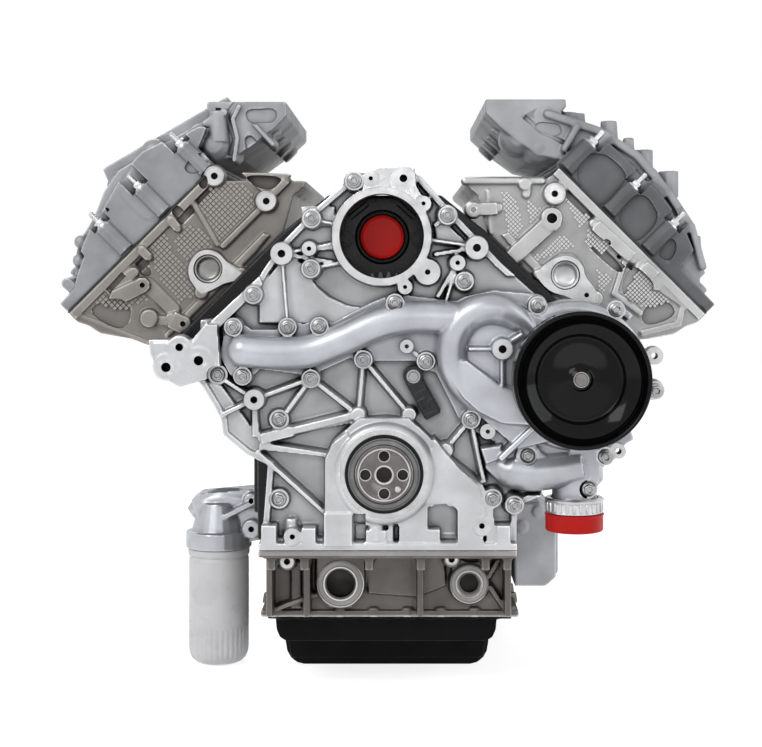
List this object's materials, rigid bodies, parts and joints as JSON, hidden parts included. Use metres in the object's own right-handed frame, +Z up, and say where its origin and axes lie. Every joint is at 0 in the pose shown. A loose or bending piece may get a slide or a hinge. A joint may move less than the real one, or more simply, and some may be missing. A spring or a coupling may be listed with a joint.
{
  "type": "complete v8 engine",
  "caption": "Ninety-degree V8 long block: block, heads, rocker covers, geared timing case, water pump, pans and oil filter, with turning crank, cam and pump.",
  "frame": {"origin": "centre of the crankshaft's front flange face, on the crankshaft's axis", "axes": "+Y to the rear along the crankshaft, +X to the right seen from the front, +Z up"},
  "size_m": [0.8288, 0.765, 0.7575],
  "materials": {
    "black_iron": "gloss black paint over cast iron",
    "cover_aluminium": "as-cast aluminium with milled bosses and faces",
    "housing_aluminium": "smooth fine-grained cast aluminium",
    "head_aluminium": "sand-cast aluminium, shot blasted",
    "rocker_aluminium": "grey cast aluminium",
    "pan_aluminium": "brownish grey cast aluminium",
    "forged_steel": "turned and ground forged steel",
    "dark_steel": "dark oiled steel",
    "bolt_steel": "zinc-plated steel",
    "gloss_black": "gloss black paint on pressed steel",
    "satin_black": "satin black paint on pressed steel",
    "filter_white": "white enamel on a drawn canister",
    "red_plastic": "red moulded plastic",
    "black_plastic": "glass-filled black plastic",
    "black_rubber": "matt moulded rubber",
    "piston_aluminium": "turned aluminium",
    "gasket": "dark coated gasket sheet",
    "cooler_aluminium": "pale cast aluminium"
  },
  "bodies": {
    "engine": {"coolant_housing": "housing_aluminium", "coolant_housing_bolts": "bolt_steel", "core_plugs": "bolt_steel", "crank_seals": "black_rubber", "crank_sensor": "black_plastic", "crank_sensor_bolt": "bolt_steel", "cylinder_block": "black_iron", "cylinder_head_left": "head_aluminium", "cylinder_head_right": "head_aluminium", "drain_plug": "bolt_steel", "front_cover": "cover_aluminium", "front_cover_bolts": "bolt_steel", "head_gasket_left": "gasket", "head_gasket_right": "gasket", "lower_oil_pan": "satin_black", "main_bearing_caps": "black_iron", "main_cap_bolts": "dark_steel", "oil_cooler_housing": "cooler_aluminium", "oil_filter": "filter_white", "oil_filter_adapter": "cover_aluminium", "oil_pickup": "dark_steel", "oil_pump": "pan_aluminium", "rear_plate": "cover_aluminium", "rocker_cover_gasket_left": "gasket", "rocker_cover_gasket_right": "gasket", "rocker_cover_left": "rocker_aluminium", "rocker_cover_right": "rocker_aluminium", "rocker_cover_studs_left": "bolt_steel", "rocker_cover_studs_right": "bolt_steel", "upper_oil_pan": "pan_aluminium", "valley_cover": "pan_aluminium"},
    "crank": {"crankshaft": "forged_steel", "nose_dowel": "forged_steel", "crank_gear": "dark_steel"},
    "cam": {"camshaft": "forged_steel", "cam_gear": "dark_steel", "cam_gear_bolt": "dark_steel"},
    "pump_rotor": {"water_pump_shaft": "forged_steel", "water_pump_impeller": "dark_steel", "water_pump_pulley": "gloss_black"},
    "coolant_cap": {"coolant_cap": "red_plastic"},
    "pump_bore_plug": {"pump_bore_plug": "red_plastic"},
    "piston_1": {"piston_1": "piston_aluminium"},
    "piston_2": {"piston_2": "piston_aluminium"},
    "piston_3": {"piston_3": "piston_aluminium"},
    "piston_4": {"piston_4": "piston_aluminium"},
    "piston_5": {"piston_5": "piston_aluminium"},
    "piston_6": {"piston_6": "piston_aluminium"},
    "piston_7": {"piston_7": "piston_aluminium"},
    "piston_8": {"piston_8": "piston_aluminium"}
  },
  "joints": [
    {"name": "crank_spin", "type": "hinge", "parent": "engine", "child": "crank", "pos_m": [0, 0, 0], "axis": [0, 1, 0], "continuous": true},
    {"name": "cam_spin", "type": "hinge", "parent": "engine", "child": "cam", "pos_m": [0, 0, 0.1425], "axis": [0, 1, 0], "continuous": true},
    {"name": "pump_spin", "type": "hinge", "parent": "engine", "child": "pump_rotor", "pos_m": [0.228, 0, 0.117], "axis": [0, 1, 0], "continuous": true},
    {"name": "coolant_cap_pull", "type": "slide", "parent": "engine", "child": "coolant_cap", "axis": [0, 0, -1], "range_m": [0, 0.06]},
    {"name": "pump_bore_plug_pull", "type": "slide", "parent": "engine", "child": "pump_bore_plug", "axis": [0, -1, 0], "range_m": [0, 0.11]},
    {"name": "piston_slide_1", "type": "slide", "parent": "engine", "child": "piston_1", "axis": [0.7071, 0, 0.7071], "range_m": [-0.108, 0]},
    {"name": "piston_slide_2", "type": "slide", "parent": "engine", "child": "piston_2", "axis": [-0.7071, 0, 0.7071], "range_m": [-0.04556, 0.06244]},
    {"name": "piston_slide_3", "type": "slide", "parent": "engine", "child": "piston_3", "axis": [0.7071, 0, 0.7071], "range_m": [-0.04556, 0.06244]},
    {"name": "piston_slide_4", "type": "slide", "parent": "engine", "child": "piston_4", "axis": [-0.7071, 0, 0.7071], "range_m": [0, 0.108]},
    {"name": "piston_slide_5", "type": "slide", "parent": "engine", "child": "piston_5", "axis": [0.7071, 0, 0.7071], "range_m": [-0.04556, 0.06244]},
    {"name": "piston_slide_6", "type": "slide", "parent": "engine", "child": "piston_6", "axis": [-0.7071, 0, 0.7071], "range_m": [-0.108, 0]},
    {"name": "piston_slide_7", "type": "slide", "parent": "engine", "child": "piston_7", "axis": [0.7071, 0, 0.7071], "range_m": [0, 0.108]},
    {"name": "piston_slide_8", "type": "slide", "parent": "engine", "child": "piston_8", "axis": [-0.7071, 0, 0.7071], "range_m": [-0.04556, 0.06244]}
  ],
  "couplings": [
    {"joint": "cam_spin", "follows": "crank_spin", "ratio": -0.5}
  ]
}
